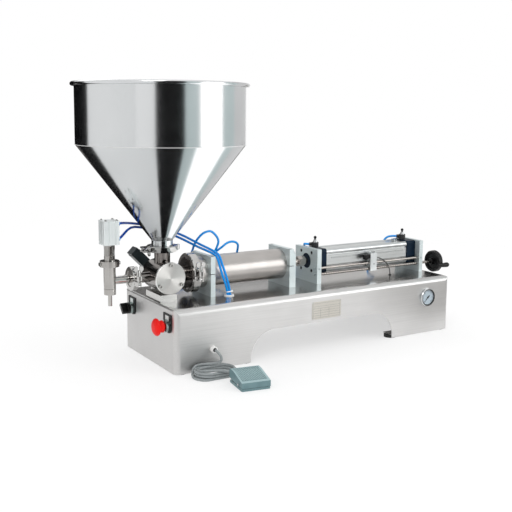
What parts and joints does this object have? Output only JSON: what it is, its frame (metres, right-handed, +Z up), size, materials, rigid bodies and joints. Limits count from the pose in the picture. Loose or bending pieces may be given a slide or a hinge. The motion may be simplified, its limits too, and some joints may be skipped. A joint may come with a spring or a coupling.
{
  "type": "piston filling machine",
  "caption": "Bench piston filler: cone hopper on a three-way valve, pneumatic filling cylinder, shut-off nozzle, stroke handwheel and foot switch on a sheet base.",
  "frame": {"origin": "on the floor, under the middle of the length from the hopper's rim to the handwheel's grip, in the plane of the filling axis", "axes": "+X from the nozzle along the filling axis to the handwheel, +Y from the front panel to the back, +Z up"},
  "size_m": [1.094, 0.5249, 0.6663],
  "materials": {
    "sheet": "brushed stainless sheet",
    "hopper_steel": "polished stainless sheet",
    "polished_steel": "polished stainless",
    "turned_steel": "turned stainless",
    "cast_steel": "cast and polished stainless",
    "plate_steel": "ground stainless plate",
    "ground_rod": "ground and polished",
    "anodised": "clear anodised extrusion",
    "navy_paint": "semi-gloss dark blue",
    "bronze_plate": "satin taupe",
    "gauge_metal": "polished bezel",
    "collar_metal": "satin metal collar",
    "plate_metal": "plain satin plate",
    "dark_screw": "black oxide screw",
    "dial_white": "pale printed dial",
    "needle_black": "black needle",
    "black_plastic": "black moulded",
    "dark_plastic": "dark moulded",
    "red_plastic": "red moulded",
    "white_nylon": "white nylon",
    "pedal_plastic": "grey-green moulded",
    "cable_grey": "grey jacket",
    "rubber": "black rubber",
    "hose_blue": "blue polyurethane"
  },
  "bodies": {
    "machine": {"base_cabinet": "sheet", "rubber_feet": "rubber", "nameplate": "plate_metal", "gauge_case": "gauge_metal", "gauge_dial": "dial_white", "legend_plates": "black_plastic", "estop_housing": "collar_metal", "switch_housing": "collar_metal", "cable_gland": "white_nylon", "pedal_base": "pedal_plastic", "pedal_cable": "cable_grey", "pedal_coil": "cable_grey", "hose_grommets": "white_nylon", "solenoid_valves": "dark_plastic", "tube_brackets": "plate_steel", "bracket_caps": "plate_steel", "tube_end_plate": "plate_steel", "front_plate": "plate_steel", "rear_plate": "plate_steel", "cap_screws": "dark_screw", "filling_tube": "polished_steel", "cylinder_head": "polished_steel", "head_clamp": "cast_steel", "air_caps": "navy_paint", "air_tube": "anodised", "speed_valves": "black_plastic", "guide_rod": "ground_rod", "valve_body": "cast_steel", "valve_cover": "turned_steel", "valve_block": "plate_steel", "actuator_adapter": "bronze_plate", "valve_actuator": "dark_plastic", "hopper_cone": "hopper_steel", "hopper_wall": "hopper_steel", "hopper_clamp": "cast_steel", "outlet_clamp": "cast_steel", "nozzle_body": "turned_steel", "nozzle_yoke": "turned_steel", "nozzle_cylinder": "anodised", "air_hoses": "hose_blue"},
    "piston": {"filling_piston": "polished_steel", "piston_seals": "white_nylon", "piston_rod": "ground_rod", "air_piston": "ground_rod"},
    "rotor": {"valve_rotor": "turned_steel"},
    "plunger": {"nozzle_plunger": "ground_rod"},
    "estop": {"estop_button": "red_plastic"},
    "switch": {"switch_knob": "black_plastic"},
    "needle": {"gauge_needle": "needle_black"},
    "treadle": {"pedal_treadle": "pedal_plastic"},
    "wheel": {"lead_screw": "ground_rod", "handwheel": "black_plastic"},
    "grip": {"wheel_grip": "black_plastic"},
    "stop_carriage": {"carriage": "anodised", "position_sensor": "black_plastic"},
    "front_knob": {"speed_knob_front": "black_plastic"},
    "rear_knob": {"speed_knob_rear": "black_plastic"},
    "head_nut": {"head_wing_nut": "cast_steel"},
    "hopper_nut": {"hopper_wing_nut": "cast_steel"},
    "outlet_nut": {"outlet_wing_nut": "cast_steel"}
  },
  "joints": [
    {"name": "piston_stroke", "type": "slide", "parent": "machine", "child": "piston", "axis": [1, 0, 0], "range_m": [-0.2, 0]},
    {"name": "valve_turn", "type": "hinge", "parent": "machine", "child": "rotor", "pos_m": [-0.338, 0, 0.208], "axis": [0, 1, 0], "range_deg": [0, 90]},
    {"name": "nozzle_open", "type": "slide", "parent": "machine", "child": "plunger", "axis": [0, 0, 1], "range_m": [0, 0.012]},
    {"name": "estop_press", "type": "slide", "parent": "machine", "child": "estop", "axis": [1, 0, 0], "range_m": [0, 0.004]},
    {"name": "switch_turn", "type": "hinge", "parent": "machine", "child": "switch", "pos_m": [-0.381, 0.107, 0.1105], "axis": [1, 0, 0], "range_deg": [0, 90]},
    {"name": "gauge_swing", "type": "hinge", "parent": "machine", "child": "needle", "pos_m": [0.395, -0.142, 0.1], "axis": [0, 1, 0], "range_deg": [0, 270]},
    {"name": "treadle_press", "type": "hinge", "parent": "machine", "child": "treadle", "pos_m": [-0.25854, -0.30164, 0.008], "axis": [-0.9877, 0.1564, 0], "range_deg": [0, 4], "stiffness_Nm_per_rad": 3, "springref_deg": -3.44},
    {"name": "wheel_turn", "type": "hinge", "parent": "machine", "child": "wheel", "pos_m": [0.499, -0.041, 0.176], "axis": [1, 0, 0], "range_deg": [-6305, 6305]},
    {"name": "grip_turn", "type": "hinge", "parent": "wheel", "child": "grip", "pos_m": [0.519, -0.06124, 0.16519], "axis": [1, 0, 0], "continuous": true},
    {"name": "carriage_travel", "type": "slide", "parent": "machine", "child": "stop_carriage", "axis": [1, 0, 0], "range_m": [-0.14, 0.14]},
    {"name": "front_speed_turn", "type": "hinge", "parent": "machine", "child": "front_knob", "pos_m": [0.1125, 0, 0.26], "axis": [0, 0, 1], "range_deg": [-720, 720]},
    {"name": "rear_speed_turn", "type": "hinge", "parent": "machine", "child": "rear_knob", "pos_m": [0.41975, 0, 0.26], "axis": [0, 0, 1], "range_deg": [-720, 720]},
    {"name": "head_nut_turn", "type": "hinge", "parent": "machine", "child": "head_nut", "pos_m": [-0.2642, -0.0585, 0.226], "axis": [0, 0, 1], "range_deg": [-1080, 1080]},
    {"name": "hopper_nut_turn", "type": "hinge", "parent": "machine", "child": "hopper_nut", "pos_m": [-0.385, -0.018, 0.275], "axis": [0, 1, 0], "range_deg": [-1080, 1080]},
    {"name": "outlet_nut_turn", "type": "hinge", "parent": "machine", "child": "outlet_nut", "pos_m": [-0.416, -0.038, 0.226], "axis": [0, 0, 1], "range_deg": [-1080, 1080]}
  ],
  "couplings": [
    {"joint": "wheel_turn", "follows": "carriage_travel", "rad_per_m": -785.4}
  ]
}
